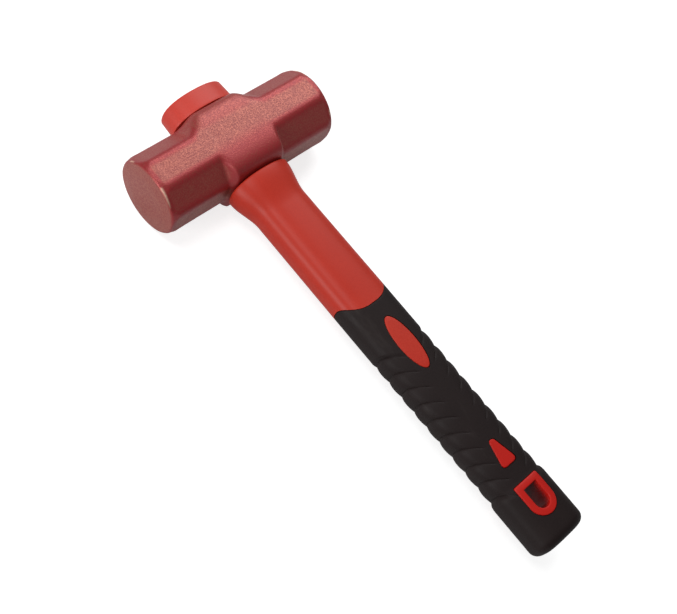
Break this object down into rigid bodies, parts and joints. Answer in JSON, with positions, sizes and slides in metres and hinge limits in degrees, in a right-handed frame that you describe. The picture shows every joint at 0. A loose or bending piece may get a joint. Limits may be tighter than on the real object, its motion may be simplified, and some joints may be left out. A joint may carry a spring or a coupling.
{
  "type": "lump hammer",
  "caption": "Lump hammer with a forged octagonal steel head, flared red neck and cap, and a black ribbed grip with red windows and a D-shaped hang hole.",
  "frame": {"origin": "on the back cheek of the head, straight below the crossing of the head's axis and the handle's axis", "axes": "+X along the head to its right striking face, +Y along the handle from the butt to the cap, +Z out of the front cheek; the hammer lies on its back cheek"},
  "size_m": [0.12, 0.3185, 0.0436],
  "materials": {
    "head_paint": "copper-red metallic paint on forged steel, fine sparkle, satin",
    "red_plastic": "orange-red polypropylene, fine spark texture, satin",
    "grip_rubber": "near-black thermoplastic rubber, satin",
    "fibreglass": "pultruded glass fibre in polyester, satin",
    "epoxy": "cured amber filler"
  },
  "bodies": {
    "root": {"hammer_head": "head_paint", "handle_jacket": "red_plastic", "eye_cap": "red_plastic", "grip_sleeve": "grip_rubber", "fibreglass_core": "fibreglass", "eye_epoxy": "epoxy"}
  },
  "joints": []
}
